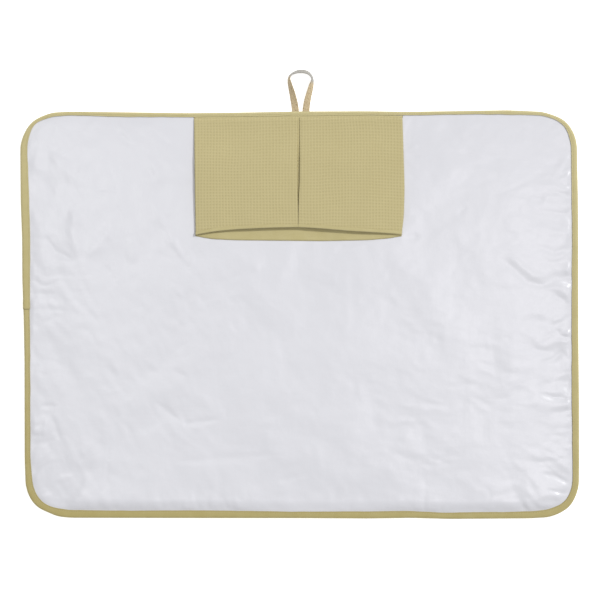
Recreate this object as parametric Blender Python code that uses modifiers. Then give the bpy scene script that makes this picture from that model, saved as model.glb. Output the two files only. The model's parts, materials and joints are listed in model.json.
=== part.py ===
"""Fold-up changing pad for babies, laid open on a table.

The mat is a sandwich: a coated satin sheet on top, wadding in the middle and a cotton backing below,
with one bias tape bound round all three. A waffle-weave pocket is sewn onto the middle of the mat,
under the binding at its far edge and open towards the near edge, and a loop of tape hangs the mat up.
The two wings fold in over the pocket, the mouth of the pocket lifts, and the loop swings up.

Metres, +Z up. The origin is the centre of the mat's underside, +Y points to the edge with the loop.
"""

import math

import bmesh
import bpy
from mathutils import Vector

# Driving dimensions
MAT_LENGTH = 0.684
MAT_DEPTH = 0.500
CORNER_RADIUS = 0.046
CORNER_STEPS = 6
FOLD_X = 0.140  # the wings fold here, just outside the pocket
FIT_GAP = 0.0003  # between pieces that touch
CUT_GAP = 0.0006  # between the panels of a layer, at a fold

CLOTH = 0.0006  # thickness of the top sheet and the backing
PAD_HEIGHT = 0.008  # the whole sandwich, away from its edge
TAPE = 0.0007  # thickness of the binding tape
LIP = 0.008  # how far the binding reaches in over the sandwich
BINDING_LOW = 0.00165
BINDING_HIGH = 0.00635
SLOPE_START = 0.0095  # the sandwich begins to swell here, measured in from the edge
SLOPE_END = 0.024
THREAD_RADIUS = 0.00025
THREAD_INSET = 0.0062

POCKET_X = -0.0016  # the pocket sits a little left of the middle
POCKET_WIDTH = 0.2596
POCKET_FAR = 0.2415  # the seam under the binding
MOUTH_SIDE = 0.0965  # where the mouth's two lips meet, at the side seams
FRONT_LIP_CENTRE = 0.1070  # the front lip is drawn back in the middle
BACK_LIP_CENTRE = 0.0906  # and the back lip reaches out below it
POCKET_ROOM = 0.0047  # clear height inside
HEM_WIDTH = 0.0040
PLEAT_SLIT = 0.0016
PLEAT_WIDTH = 0.044
MOUTH_STEPS = 8

LOOP_X = 0.0002
LOOP_HALF_WIDTH = 0.0150
LOOP_ROOT_HALF = 0.0064
LOOP_TAPE = 0.0080
LOOP_THICKNESS = 0.0009
LOOP_ROOT_Y = MAT_DEPTH / 2 + 0.0019
LOOP_TIP_Y = MAT_DEPTH / 2 + 0.0480
LOOP_FLAT_Z = 0.0010
LOOP_SIDE_SHARE = 0.66  # how far along it the loop is widest
LOOP_CLEARANCE = 0.0006  # under the tape where it stands on its edge
LOOP_END_INNER = 0.0100  # the ends under the mat, measured in from its edge
LOOP_END_OUTER = -0.0009
TACK_INNER = 0.0060
TACK_OUTER = 0.0040
TACK_LEVEL = (0.00002, 0.00032)

# Joint axes
LEFT_FOLD_Z = 0.0172
RIGHT_FOLD_Z = 0.0221
MOUTH_HINGE = Vector((POCKET_X, POCKET_FAR - 0.0010, 0.0095))
LOOP_HINGE = Vector((LOOP_X, MAT_DEPTH / 2 + 0.0015, LOOP_FLAT_Z))

# Levels of the layers, as (low, high): at the bound edge, and away from it
EDGE_BACKING = (BINDING_LOW + TAPE + FIT_GAP, BINDING_LOW + TAPE + FIT_GAP + CLOTH)
EDGE_SHEET = (BINDING_HIGH - TAPE - FIT_GAP - CLOTH, BINDING_HIGH - TAPE - FIT_GAP)
EDGE_WADDING = (EDGE_BACKING[1] + FIT_GAP, EDGE_SHEET[0] - FIT_GAP)
OPEN_BACKING = (0.0, CLOTH)
OPEN_SHEET = (PAD_HEIGHT - CLOTH, PAD_HEIGHT)
OPEN_WADDING = (OPEN_BACKING[1] + FIT_GAP, OPEN_SHEET[0] - FIT_GAP)
LAYER_EDGE = TAPE + 0.0005

POCKET_BACK_LEVEL = (PAD_HEIGHT + FIT_GAP, PAD_HEIGHT + FIT_GAP + CLOTH)
PLEAT_LEVEL = (POCKET_BACK_LEVEL[1] + POCKET_ROOM, POCKET_BACK_LEVEL[1] + POCKET_ROOM + CLOTH)
FRONT_CLOTH = 0.0008
FRONT_TOP = PLEAT_LEVEL[1] + FIT_GAP + FRONT_CLOTH
FRONT_FOOT = POCKET_BACK_LEVEL[1] + FIT_GAP


def clear_scene():
    for thing in list(bpy.data.objects):
        bpy.data.objects.remove(thing)


def make_collection(name):
    group = bpy.data.collections.new(name)
    bpy.context.scene.collection.children.link(group)
    return group


def make_material(name, colour, roughness):
    paint = bpy.data.materials.new(name)
    paint.use_nodes = True
    shader = paint.node_tree.nodes["Principled BSDF"]
    shader.inputs["Base Color"].default_value = (*colour, 1)
    shader.inputs["Roughness"].default_value = roughness
    shader.inputs["Metallic"].default_value = 0
    paint.diffuse_color = (*colour, 1)
    return paint


def add_object(name, data, finish, parent=None):
    """A new object in the parts collection, hung on an empty if it moves."""
    thing = bpy.data.objects.new(name, data)
    parts.objects.link(thing)
    data.materials.append(finish)
    if parent:
        thing.parent = parent
        thing.matrix_parent_inverse = parent.matrix_world.inverted()
    return thing


def add_pivot(name, place):
    """An empty on a joint's axis, which the moving pieces hang on."""
    pivot = bpy.data.objects.new(name, None)
    pivot.empty_display_size = 0.03
    pivot.location = place
    parts.objects.link(pivot)
    bpy.context.view_layer.update()
    return pivot


def mat_outline(inset):
    """The mat's rounded outline, moved in by inset, anticlockwise from the right-hand side."""
    radius = CORNER_RADIUS - inset
    points = []
    for quarter, (side_x, side_y) in enumerate(((1, 1), (-1, 1), (-1, -1), (1, -1))):
        centre_x = side_x * (MAT_LENGTH / 2 - CORNER_RADIUS)
        centre_y = side_y * (MAT_DEPTH / 2 - CORNER_RADIUS)
        for step in range(CORNER_STEPS + 1):
            angle = math.radians(90 * (quarter + step / CORNER_STEPS))
            points.append((centre_x + radius * math.cos(angle), centre_y + radius * math.sin(angle)))
    return points


def cut_between(mesh, low_x, high_x):
    """Keeps the part of a closed mesh between two planes across X, and closes the cuts."""
    for edge_x, outward in ((low_x, -1), (high_x, 1)):
        if edge_x is None:
            continue
        everything = mesh.verts[:] + mesh.edges[:] + mesh.faces[:]
        bmesh.ops.bisect_plane(
            mesh, geom=everything, plane_co=(edge_x, 0, 0), plane_no=(outward, 0, 0), clear_outer=True
        )
        rim = [edge for edge in mesh.edges if edge.is_boundary]
        bmesh.ops.holes_fill(mesh, edges=rim, sides=0)
    bmesh.ops.recalc_face_normals(mesh, faces=mesh.faces)


def finish_mesh(name, mesh, finish, parent=None):
    data = bpy.data.meshes.new(name)
    mesh.to_mesh(data)
    mesh.free()
    return add_object(name, data, finish, parent)


PANELS = {
    "left": (None, -FOLD_X - CUT_GAP / 2),
    "middle": (-FOLD_X + CUT_GAP / 2, FOLD_X - CUT_GAP / 2),
    "right": (FOLD_X + CUT_GAP / 2, None),
}


def raise_face(mesh, face, rise):
    """Insets one flat face twice: to where the slope starts, then up or down the slope."""
    bmesh.ops.inset_region(
        mesh, faces=[face], thickness=SLOPE_START - LAYER_EDGE, depth=0, use_even_offset=True
    )
    bmesh.ops.inset_region(
        mesh, faces=[face], thickness=SLOPE_END - SLOPE_START, depth=rise, use_even_offset=True
    )


def make_layer(name, edge, inner, finish):
    """One layer of the sandwich, level at its bound edge and level inside, cut in three at the folds."""
    for side, (low_x, high_x) in PANELS.items():
        mesh = bmesh.new()
        rim = [mesh.verts.new((x, y, edge[0])) for x, y in mat_outline(LAYER_EDGE)]
        floor = mesh.faces.new(rim)
        lifted = bmesh.ops.extrude_face_region(mesh, geom=[floor])
        top = next(item for item in lifted["geom"] if isinstance(item, bmesh.types.BMFace))
        bmesh.ops.translate(mesh, verts=top.verts[:], vec=(0, 0, edge[1] - edge[0]))
        bottom = next(face for face in mesh.faces if all(vert.co.z == rim[0].co.z for vert in face.verts))
        bmesh.ops.recalc_face_normals(mesh, faces=mesh.faces)
        raise_face(mesh, top, inner[1] - edge[1])
        raise_face(mesh, bottom, edge[0] - inner[0])
        cut_between(mesh, low_x, high_x)
        finish_mesh(f"{name}_{side}", mesh, finish, pivots.get(side))


def make_path(name, points, closed):
    """A curve of straight pieces through points, for a tape or a thread to follow."""
    line = bpy.data.curves.new(name, "CURVE")
    line.dimensions = "3D"
    line.twist_mode = "Z_UP"
    line.use_fill_caps = True
    spline = line.splines.new("POLY")
    spline.points.add(len(points) - 1)
    for control, (x, y, z) in zip(spline.points, points):
        control.co = (x, y, z, 1)
    spline.use_cyclic_u = closed
    return line


def make_profile(name, points):
    """A closed flat outline that a tape is swept from, kept with the guides."""
    line = make_path(name, [(x, y, 0) for x, y in points], True)
    line.dimensions = "2D"
    line.fill_mode = "NONE"
    guide = bpy.data.objects.new(name, line)
    guide.hide_render = True
    guide.display_type = "WIRE"
    guides.objects.link(guide)
    return guide


def curve_to_mesh(line):
    """The welded mesh of a curve, which is then removed."""
    carrier = bpy.data.objects.new("carrier", line)
    guides.objects.link(carrier)
    bpy.context.view_layer.update()
    evaluated = carrier.evaluated_get(bpy.context.evaluated_depsgraph_get())
    data = bpy.data.meshes.new_from_object(evaluated)
    mesh = bmesh.new()
    mesh.from_mesh(data)
    bmesh.ops.remove_doubles(mesh, verts=mesh.verts, dist=0.00002)
    bmesh.ops.recalc_face_normals(mesh, faces=mesh.faces)
    bpy.data.meshes.remove(data)
    bpy.data.objects.remove(carrier)
    bpy.data.curves.remove(line)
    return mesh


def keep_half(mesh, sign):
    """Keeps the far (1) or the near (-1) one of two separate pieces."""
    everything = mesh.verts[:] + mesh.edges[:] + mesh.faces[:]
    bmesh.ops.bisect_plane(mesh, geom=everything, plane_co=(0, 0, 0), plane_no=(0, -sign, 0), clear_outer=True)


def make_binding_pieces(name, line, finish):
    """Cuts a swept ring into the two wings' pieces and the middle's two straight pieces."""
    ring = curve_to_mesh(line)
    for side, (low_x, high_x) in PANELS.items():
        mesh = ring.copy()
        cut_between(mesh, low_x, high_x)
        if side != "middle":
            finish_mesh(f"{name}_{side}", mesh, finish, pivots[side])
            continue
        near = mesh.copy()
        keep_half(mesh, 1)
        keep_half(near, -1)
        finish_mesh(f"{name}_far", mesh, finish)
        finish_mesh(f"{name}_near", near, finish)
    ring.free()


def make_binding(finish):
    """The tape folded round the edge: a channel, open inwards, swept round the mat's outline."""
    wall = BINDING_HIGH - BINDING_LOW
    channel = [
        (0, 0),
        (LIP, 0),
        (LIP, TAPE),
        (TAPE, TAPE),
        (TAPE, wall - TAPE),
        (LIP, wall - TAPE),
        (LIP, wall),
        (0, wall),
    ]
    line = make_path("binding_path", [(x, y, BINDING_LOW) for x, y in mat_outline(0)], True)
    line.bevel_mode = "OBJECT"
    # a sweep's own X axis points out of an anticlockwise ring, and the channel opens inwards
    line.bevel_object = make_profile("binding_channel", [(-x, y) for x, y in channel])
    make_binding_pieces("binding", line, finish)


def make_binding_thread(finish):
    """The row of stitches that holds the binding, as one fine bead along the upper lip."""
    level = BINDING_HIGH + FIT_GAP + THREAD_RADIUS
    line = make_path("thread_path", [(x, y, level) for x, y in mat_outline(THREAD_INSET)], True)
    line.bevel_depth = THREAD_RADIUS
    line.bevel_resolution = 1
    make_binding_pieces("binding_thread", line, finish)


def lip_y(x, centre):
    """Where a lip of the mouth runs: it bows out from the side seams to its middle."""
    share = abs(x - POCKET_X) / (POCKET_WIDTH / 2)
    return centre + (MOUTH_SIDE - centre) * share**3


def make_cloth_piece(name, points, level, finish, parent=None):
    """A flat piece of cloth: an outline with thickness, between two levels."""
    line = bpy.data.curves.new(name, "CURVE")
    line.dimensions = "2D"
    line.fill_mode = "BOTH"
    line.extrude = (level[1] - level[0]) / 2
    spline = line.splines.new("POLY")
    spline.points.add(len(points) - 1)
    for control, (x, y) in zip(spline.points, points):
        control.co = (x, y, 0, 1)
    spline.use_cyclic_u = True
    mesh = curve_to_mesh(line)
    bmesh.ops.translate(mesh, verts=mesh.verts, vec=(0, 0, (level[0] + level[1]) / 2))
    finish_mesh(name, mesh, finish, parent)


def make_pocket_front(side, sign, finish):
    """Half of the pocket's front: a panel with its side and far edges turned down to the mat."""
    inner = POCKET_X + sign * PLEAT_SLIT / 2
    outer = POCKET_X + sign * POCKET_WIDTH / 2
    mouth = [inner + (outer - inner) * step / MOUTH_STEPS for step in range(MOUTH_STEPS + 1)]
    setback = HEM_WIDTH + FIT_GAP
    mesh = bmesh.new()
    near = [mesh.verts.new((x, lip_y(x, FRONT_LIP_CENTRE) + setback, FRONT_TOP)) for x in mouth]
    far = [mesh.verts.new((x, POCKET_FAR, FRONT_TOP)) for x in (outer, inner)]
    panel = mesh.faces.new(near + far)
    turned = [mesh.edges.get(pair) for pair in ((near[-1], far[0]), (far[0], far[1]))]
    dropped = bmesh.ops.extrude_edge_only(mesh, edges=turned)
    feet = [item for item in dropped["geom"] if isinstance(item, bmesh.types.BMVert)]
    bmesh.ops.translate(mesh, verts=feet, vec=(0, 0, FRONT_FOOT - FRONT_TOP))
    bmesh.ops.recalc_face_normals(mesh, faces=mesh.faces)
    if panel.normal.z < 0:
        bmesh.ops.reverse_faces(mesh, faces=mesh.faces)
    front = finish_mesh(f"pocket_front_{side}", mesh, finish, pivots["mouth"])
    wall = front.modifiers.new("cloth", "SOLIDIFY")
    wall.thickness = FRONT_CLOTH
    wall.offset = -1
    wall.use_even_offset = True


def make_pocket(waffle, plain):
    half = POCKET_WIDTH / 2
    spots = [POCKET_X + half * (step / MOUTH_STEPS - 1) for step in range(2 * MOUTH_STEPS + 1)]
    back = [(x, lip_y(x, BACK_LIP_CENTRE)) for x in spots]
    back += [(spots[-1], POCKET_FAR), (spots[0], POCKET_FAR)]
    make_cloth_piece("pocket_back", back, POCKET_BACK_LEVEL, plain)
    for side, sign in (("left", -1), ("right", 1)):
        make_pocket_front(side, sign, waffle)
    pleat_near = FRONT_LIP_CENTRE + HEM_WIDTH + 2 * FIT_GAP
    pleat_far = POCKET_FAR - FRONT_CLOTH - FIT_GAP
    pleat_left, pleat_right = POCKET_X - PLEAT_WIDTH / 2, POCKET_X + PLEAT_WIDTH / 2
    pleat = [
        (pleat_left, pleat_near),
        (pleat_right, pleat_near),
        (pleat_right, pleat_far),
        (pleat_left, pleat_far),
    ]
    make_cloth_piece("pocket_pleat", pleat, PLEAT_LEVEL, waffle, pivots["mouth"])
    hem = [(x, lip_y(x, FRONT_LIP_CENTRE)) for x in spots]
    hem += [(x, lip_y(x, FRONT_LIP_CENTRE) + HEM_WIDTH) for x in reversed(spots)]
    make_cloth_piece("pocket_hem", hem, (PLEAT_LEVEL[0], FRONT_TOP), plain, pivots["mouth"])


def make_loop(finish):
    """The hanging loop: flat tape at its roots that turns onto its edge round a teardrop."""
    line = bpy.data.curves.new("hanging_loop_path", "CURVE")
    line.dimensions = "3D"
    line.twist_mode = "Z_UP"
    line.resolution_u = 6
    line.use_fill_caps = True
    line.bevel_mode = "OBJECT"
    tape = ((-0.5, -0.5), (0.5, -0.5), (0.5, 0.5), (-0.5, 0.5))
    line.bevel_object = make_profile("loop_tape", [(LOOP_TAPE * x, LOOP_THICKNESS * y) for x, y in tape])
    standing = LOOP_TAPE / 2 + LOOP_CLEARANCE
    reach = LOOP_TIP_Y - LOOP_ROOT_Y
    side_along = LOOP_SIDE_SHARE * reach
    # each stop: across, along, height, tilt in degrees, direction, handle length
    stops = [
        (-LOOP_ROOT_HALF, 0, LOOP_FLAT_Z, 0, (-0.10, 1, 0.22), 0.010),
        (-LOOP_HALF_WIDTH, side_along, standing, 88, (0.05, 1, 0), 0.011),
        (0, reach, standing, 52, (1, 0, 0), 0.010),
        (LOOP_HALF_WIDTH, side_along, standing, 88, (0.05, -1, 0), 0.011),
        (LOOP_ROOT_HALF, 0, LOOP_FLAT_Z, 0, (-0.10, -1, -0.22), 0.010),
    ]
    spline = line.splines.new("BEZIER")
    spline.bezier_points.add(len(stops) - 1)
    for control, (across, along, height, tilt, heading, handle) in zip(spline.bezier_points, stops):
        place = Vector((LOOP_X + across, LOOP_ROOT_Y + along, height))
        step = handle * Vector(heading).normalized()
        control.handle_left_type = "FREE"
        control.handle_right_type = "FREE"
        control.co = place
        control.handle_left = place - step
        control.handle_right = place + step
        control.tilt = math.radians(tilt)
    finish_mesh("hanging_loop", curve_to_mesh(line), finish, pivots["loop"])
    for side, sign in (("left", -1), ("right", 1)):
        low = LOOP_X + sign * LOOP_ROOT_HALF - LOOP_TAPE / 2
        high = low + LOOP_TAPE
        near, far = MAT_DEPTH / 2 - LOOP_END_INNER, MAT_DEPTH / 2 - LOOP_END_OUTER
        end = [(low, near), (high, near), (high, far), (low, far)]
        half = LOOP_THICKNESS / 2 - 0.0001  # a little thinner than the loop itself
        level = (LOOP_FLAT_Z - half, LOOP_FLAT_Z + half)
        make_cloth_piece(f"loop_end_{side}", end, level, finish)


def make_loop_stitch(finish):
    """The bar of close stitches across both ends of the loop, on the underside."""
    half = LOOP_ROOT_HALF + LOOP_TAPE / 2
    near, far = MAT_DEPTH / 2 - TACK_INNER, MAT_DEPTH / 2 - TACK_OUTER
    bar = [(LOOP_X - half, near), (LOOP_X + half, near), (LOOP_X + half, far), (LOOP_X - half, far)]
    make_cloth_piece("loop_bar_tack", bar, TACK_LEVEL, finish)


clear_scene()
parts = make_collection("changing_pad")
guides = make_collection("guides")

satin = make_material("coated_satin", (0.74, 0.73, 0.78), 0.35)
wadding = make_material("wadding", (0.86, 0.85, 0.82), 0.95)
cotton = make_material("olive_cotton", (0.42, 0.37, 0.22), 0.80)
waffle_cloth = make_material("waffle_weave", (0.54, 0.48, 0.26), 0.90)
loop_cloth = make_material("beige_tape", (0.58, 0.46, 0.29), 0.75)
thread = make_material("thread", (0.46, 0.40, 0.25), 0.60)

pivots = {
    "left": add_pivot("pivot_left_fold", (-FOLD_X, 0, LEFT_FOLD_Z)),
    "right": add_pivot("pivot_right_fold", (FOLD_X, 0, RIGHT_FOLD_Z)),
    "mouth": add_pivot("pivot_pocket_mouth", MOUTH_HINGE),
    "loop": add_pivot("pivot_loop", LOOP_HINGE),
}

make_layer("backing", EDGE_BACKING, OPEN_BACKING, cotton)
make_layer("wadding", EDGE_WADDING, OPEN_WADDING, wadding)
make_layer("top_sheet", EDGE_SHEET, OPEN_SHEET, satin)
make_binding(cotton)
make_binding_thread(thread)
make_pocket(waffle_cloth, cotton)
make_loop(loop_cloth)
make_loop_stitch(thread)
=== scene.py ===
# %% [markdown]
# # A fold-up changing pad
#
# The mat is a sandwich of coated satin, wadding and cotton, bound round its edge with tape. A
# waffle-weave pocket is sewn on the middle, and a loop of tape hangs the mat up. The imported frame
# gives every place and size, and these cells add the cloth: its swelling, puckers, weave and stitches.

# %% Load the frame
import json
import math

import bmesh
import bpy
import numpy as np
from mathutils import Matrix, Vector


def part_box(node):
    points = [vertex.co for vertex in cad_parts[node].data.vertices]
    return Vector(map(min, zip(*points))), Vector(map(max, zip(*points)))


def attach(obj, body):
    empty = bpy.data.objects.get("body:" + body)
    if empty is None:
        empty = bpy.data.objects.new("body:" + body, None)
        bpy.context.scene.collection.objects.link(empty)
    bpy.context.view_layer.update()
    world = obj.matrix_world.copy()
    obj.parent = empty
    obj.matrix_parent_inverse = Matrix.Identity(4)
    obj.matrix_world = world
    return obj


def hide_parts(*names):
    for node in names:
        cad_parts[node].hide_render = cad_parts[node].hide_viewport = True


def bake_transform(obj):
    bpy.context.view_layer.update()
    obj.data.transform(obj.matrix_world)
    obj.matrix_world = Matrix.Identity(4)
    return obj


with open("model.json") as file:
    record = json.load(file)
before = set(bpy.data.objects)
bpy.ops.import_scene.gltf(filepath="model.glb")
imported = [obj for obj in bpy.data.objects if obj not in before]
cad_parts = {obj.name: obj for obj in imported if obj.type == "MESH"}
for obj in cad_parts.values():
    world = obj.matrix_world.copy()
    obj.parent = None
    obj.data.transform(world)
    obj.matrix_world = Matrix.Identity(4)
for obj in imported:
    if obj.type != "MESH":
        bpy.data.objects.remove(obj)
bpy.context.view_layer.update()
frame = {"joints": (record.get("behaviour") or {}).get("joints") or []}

# %% [markdown]
# ## Sizes from the frame
#
# Every cloth is placed from the plain solids that it stands for. A joint's place says where the mat
# folds. Only what a plain solid can't tell, such as the pitch of a weave, is a number of its own.

# %% Sizes
MM = 0.001
joints = {joint["name"]: joint for joint in frame["joints"]}
HALF_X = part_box("binding_right")[1][0]
HALF_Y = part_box("binding_far")[1][1]
CORNER = 46 * MM
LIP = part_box("binding_near")[1][1] + HALF_Y
EDGE_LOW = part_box("binding_near")[0][2]
EDGE_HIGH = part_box("binding_near")[1][2]
PAD_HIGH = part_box("top_sheet_middle")[1][2]
FOLD_X = joints["right_fold"]["pos_m"][0]
CUT_X = FOLD_X - 10 * MM  # the wings' cloth is its own piece from here on
BEND_IN, BEND_OUT = FOLD_X - 9 * MM, FOLD_X + 22 * MM  # a span round each fold, from 9 mm inside it to 22 mm beyond
POCKET_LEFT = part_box("pocket_front_left")[0][0]
POCKET_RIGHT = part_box("pocket_front_right")[1][0]
POCKET_X = (POCKET_LEFT + POCKET_RIGHT) / 2
POCKET_HALF = (POCKET_RIGHT - POCKET_LEFT) / 2
POCKET_FAR = HALF_Y - 5 * MM  # under the binding's lip
MOUTH_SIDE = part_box("pocket_hem")[0][1]
FRONT_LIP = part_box("pocket_hem")[0][1] + 10.5 * MM
SATIN_THICK, COTTON_THICK, WEAVE_THICK = 0.4 * MM, 0.5 * MM, 0.7 * MM
BINDING_THICK, HEM_THICK, LOOP_THICK = 0.6 * MM, 0.35 * MM, 0.8 * MM
print(f"mat {2 * HALF_X:.3f} x {2 * HALF_Y:.3f} m, folds at {FOLD_X:.3f} m")
print(f"pocket {2 * POCKET_HALF:.3f} m wide")

# %% [markdown]
# ## Smooth random numbers
#
# Cloth is never quite even. Value noise gives a smooth random surface: random numbers sit on the
# corners of a square lattice and are eased into each other in between. The lattice is hashed from
# its own coordinates, so every run gives the same cloth.


# %% Noise
def soft(share):
    """Eases a share from 0 to 1, level at both ends."""
    return share * share * (3 - 2 * share)


def between(near_left, near_right, far_left, far_right, across, along):
    """A value inside a square, mixed from the values at its four corners."""
    near = near_left * (1 - across) + near_right * across
    far = far_left * (1 - across) + far_right * across
    return near * (1 - along) + far * along


def lattice(column, row, seed):
    """A fixed random number from -1 to 1 for each corner of the lattice."""
    tangled = np.sin(column * 127.1 + row * 311.7 + seed * 74.7) * 43758.5453
    return 2 * (tangled - np.floor(tangled)) - 1


def wander(x, y, size, seed):
    """Smooth noise from -1 to 1 whose bumps are about size across."""
    column, row = np.floor(x / size), np.floor(y / size)
    corners = [lattice(column + right, row + far, seed) for far in (0, 1) for right in (0, 1)]
    return between(*corners, soft(x / size - column), soft(y / size - row))


def ease(value, start, end):
    """0 before start, 1 after end, and smooth between."""
    return soft(np.clip((value - start) / (end - start), 0, 1))


tried = wander(np.linspace(0, 1, 500), np.zeros(500), 20 * MM, 1)
print(f"noise from {tried.min():.2f} to {tried.max():.2f}")

# %% [markdown]
# ## The way round the mat
#
# The binding, its stitches and the puckers all run round the edge, so they share one measure: the
# way round, in metres, anticlockwise from the middle of the right-hand edge. The edge is four
# straight runs and four quarter circles, and each place on it has a direction that points outwards.


# %% The edge
def edge_runs():
    """The edge's runs in order: (length, starting place, starting outward angle, turns or not)."""
    straight_x, straight_y = 2 * (HALF_X - CORNER), 2 * (HALF_Y - CORNER)
    quarter = CORNER * math.pi / 2
    return [
        (straight_y / 2, (HALF_X, 0), 0, False),
        (quarter, (HALF_X - CORNER, HALF_Y - CORNER), 0, True),
        (straight_x, (HALF_X - CORNER, HALF_Y), 90, False),
        (quarter, (CORNER - HALF_X, HALF_Y - CORNER), 90, True),
        (straight_y, (-HALF_X, HALF_Y - CORNER), 180, False),
        (quarter, (CORNER - HALF_X, CORNER - HALF_Y), 180, True),
        (straight_x, (CORNER - HALF_X, -HALF_Y), 270, False),
        (quarter, (HALF_X - CORNER, CORNER - HALF_Y), 270, True),
        (straight_y / 2, (HALF_X, CORNER - HALF_Y), 0, False),
    ]


EDGE_LENGTH = sum(run[0] for run in edge_runs())
print(f"the edge is {EDGE_LENGTH:.3f} m round")


def edge_place(way, inset):
    """Points a distance in from the edge, at each way round: (x, y, outward x, outward y)."""
    x, y, out_x, out_y = (np.zeros_like(way) for _ in range(4))
    start = 0.0
    for length, (from_x, from_y), angle, turns in edge_runs():
        here = (way >= start - 1e-9) & (way <= start + length + 1e-9)
        gone = way[here] - start
        facing = np.radians(angle) + (gone / CORNER if turns else 0 * gone)
        out_x[here], out_y[here] = np.cos(facing), np.sin(facing)
        if turns:
            x[here] = from_x + CORNER * out_x[here]
            y[here] = from_y + CORNER * out_y[here]
        else:
            x[here] = from_x - gone * out_y[here]
            y[here] = from_y + gone * out_x[here]
        start += length
    return x - inset * out_x, y - inset * out_y, out_x, out_y


# %% [markdown]
# ### The way round, from a place
#
# The cloths need the reverse: how far in from the edge a point of the mat is, and which place on the
# edge it belongs to. Near a corner, nearest-point would bunch everything up, so the way round fans
# out from a centre well inside it, and the mat's four quarters share one table.


# %% From a place to the way round
FAN = 60 * MM  # how far inside the corners' own centres the way round still fans out
FAN_X, FAN_Y = HALF_X - CORNER - FAN, HALF_Y - CORNER - FAN


FAN_WAYS = np.linspace(FAN_Y, EDGE_LENGTH / 4 - FAN_X, 200)  # the ways round that a corner's fan meets
fan_edge_x, fan_edge_y, _, _ = edge_place(FAN_WAYS, 0)
FAN_ANGLES = np.arctan2(fan_edge_y - FAN_Y, fan_edge_x - FAN_X)


def edge_measure(x, y):
    """(how far in from the edge, way round to the edge beside it) for points on the mat."""
    over_x, over_y = np.abs(x) - (HALF_X - CORNER), np.abs(y) - (HALF_Y - CORNER)
    round_it = np.hypot(np.maximum(over_x, 0), np.maximum(over_y, 0))
    inset = CORNER - np.where((over_x > 0) & (over_y > 0), round_it, np.maximum(over_x, over_y))
    fan_x, fan_y = np.abs(x) - FAN_X, np.abs(y) - FAN_Y
    first = np.where(fan_y > fan_x, EDGE_LENGTH / 4 - np.abs(x), np.minimum(np.abs(y), FAN_Y))
    in_fan = (fan_x > 0) & (fan_y > 0)
    angle = np.arctan2(np.maximum(fan_y, 0), np.maximum(fan_x, 1e-9))
    first = np.where(in_fan, np.interp(angle, FAN_ANGLES, FAN_WAYS), first)
    half = EDGE_LENGTH / 2
    right, far = x >= 0, y >= 0
    way = np.select(
        [right & far, ~right & far, ~right & ~far, right & ~far],
        [first, half - first, half + first, EDGE_LENGTH - first],
    )
    return inset, way


middle_inset, _ = edge_measure(np.zeros(1), np.zeros(1))
print(f"the middle of the mat is {middle_inset[0]:.3f} m in from the edge")

# %% [markdown]
# ### How the edge wanders
#
# A hand-fed binding is never even. A few stops round the edge say how far it is pushed out of line,
# how wide its lip is, how much the sheet swells inside it and how strongly it gathers the sheet.


# %% The edge's stops
PUSH, LIP_WIDTH, SWELL, GATHERING = 1, 2, 3, 4
EDGE_STOPS = np.array([  # way round, then the four columns above, all in millimetres
    (0, -0.1, 8.3, 0.8, 1.2),
    (100, 0.8, 7.7, 0.7, 0.9),
    (140, 1.0, 7.7, 0.7, 0.8),
    (190, 0.5, 7.2, 0.6, 0.6),
    (215, 0.4, 7.6, 0.6, 0.5),
    (240, 0.8, 5.2, 0.6, 0.4),
    (262, -1.5, 4.4, 0.6, 0.2),
    (276, -0.2, 4.7, 0.6, 0.1),
    (314, 1.5, 5.4, 0.6, 0.1),
    (352, 0.9, 4.6, 0.6, 0.2),
    (437, -0.5, 4.4, 0.6, 0.4),
    (490, 0.3, 5.0, 0.6, 0.2),
    (572, -0.1, 5.6, 0.6, 0.1),
    (650, -1.5, 5.2, 0.6, 0.1),
    (707, -2.1, 5.2, 0.6, 0.2),
    (780, -1.1, 6.0, 0.6, 0.2),
    (854, -0.2, 4.9, 0.6, 0.1),
    (868, -1.0, 5.2, 0.6, 0.2),
    (886, -2.0, 4.9, 0.6, 0.2),
    (904, -0.5, 4.5, 0.6, 0.3),
    (922, -1.1, 7.4, 0.6, 0.3),
    (940, 0.2, 8.8, 0.6, 0.2),
    (1003, 0.4, 10.5, 0.6, 0.2),
    (1052, -0.8, 10.6, 0.6, 0.4),
    (1101, -0.5, 9.6, 0.7, 0.7),
    (1150, -1.7, 8.0, 0.8, 0.9),
    (1200, -2.1, 7.4, 0.8, 1.0),
    (1322, -1.0, 7.6, 0.8, 0.9),
    (1360, -1.9, 9.4, 0.9, 0.6),
    (1384, -1.7, 9.5, 0.9, 0.6),
    (1402, -3.8, 8.6, 1.2, 0.6),
    (1418, -1.6, 9.6, 1.6, 0.6),
    (1430, -0.2, 9.7, 4.0, 0.5),
    (1528, 0, 9.1, 4.3, 0.6),
    (1602, 0.1, 9.4, 3.8, 0.6),
    (1712, 0.2, 8.0, 1.8, 0.3),
    (1798, 0.7, 8.6, 2.2, 0.4),
    (1850, -0.1, 8.6, 3.0, 0.5),
    (1896, 1.2, 7.6, 3.7, 0.6),
    (1995, 0.5, 8.5, 3.9, 0.8),
    (2030, -1.4, 10.0, 4.2, 0.9),
    (2049, -0.6, 9.3, 3.6, 0.9),
    (2068, -1.9, 8.4, 1.6, 1.0),
    (2110, -1.2, 8.3, 0.9, 1.2),
    (2184, -0.5, 9.0, 0.8, 1.4),
    (2258, -0.4, 8.5, 0.8, 1.4),
    (EDGE_LENGTH / MM, -0.1, 8.3, 0.8, 1.2),
]) * MM


EASING = np.array([-6, -3, 0, 3, 6]) * MM  # a line through stops is averaged over these shifts
OUT_OF_SQUARE = -0.011
PUSH_REACH = 50 * MM  # how fast the push fades inwards


def edge_stop(way, column):
    """One of the edge's measures, from stop to stop, with the turns between them eased."""
    places, values = EDGE_STOPS[:, 0], EDGE_STOPS[:, column]
    return sum(np.interp(way + shift, places, values) for shift in EASING) / len(EASING)


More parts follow.
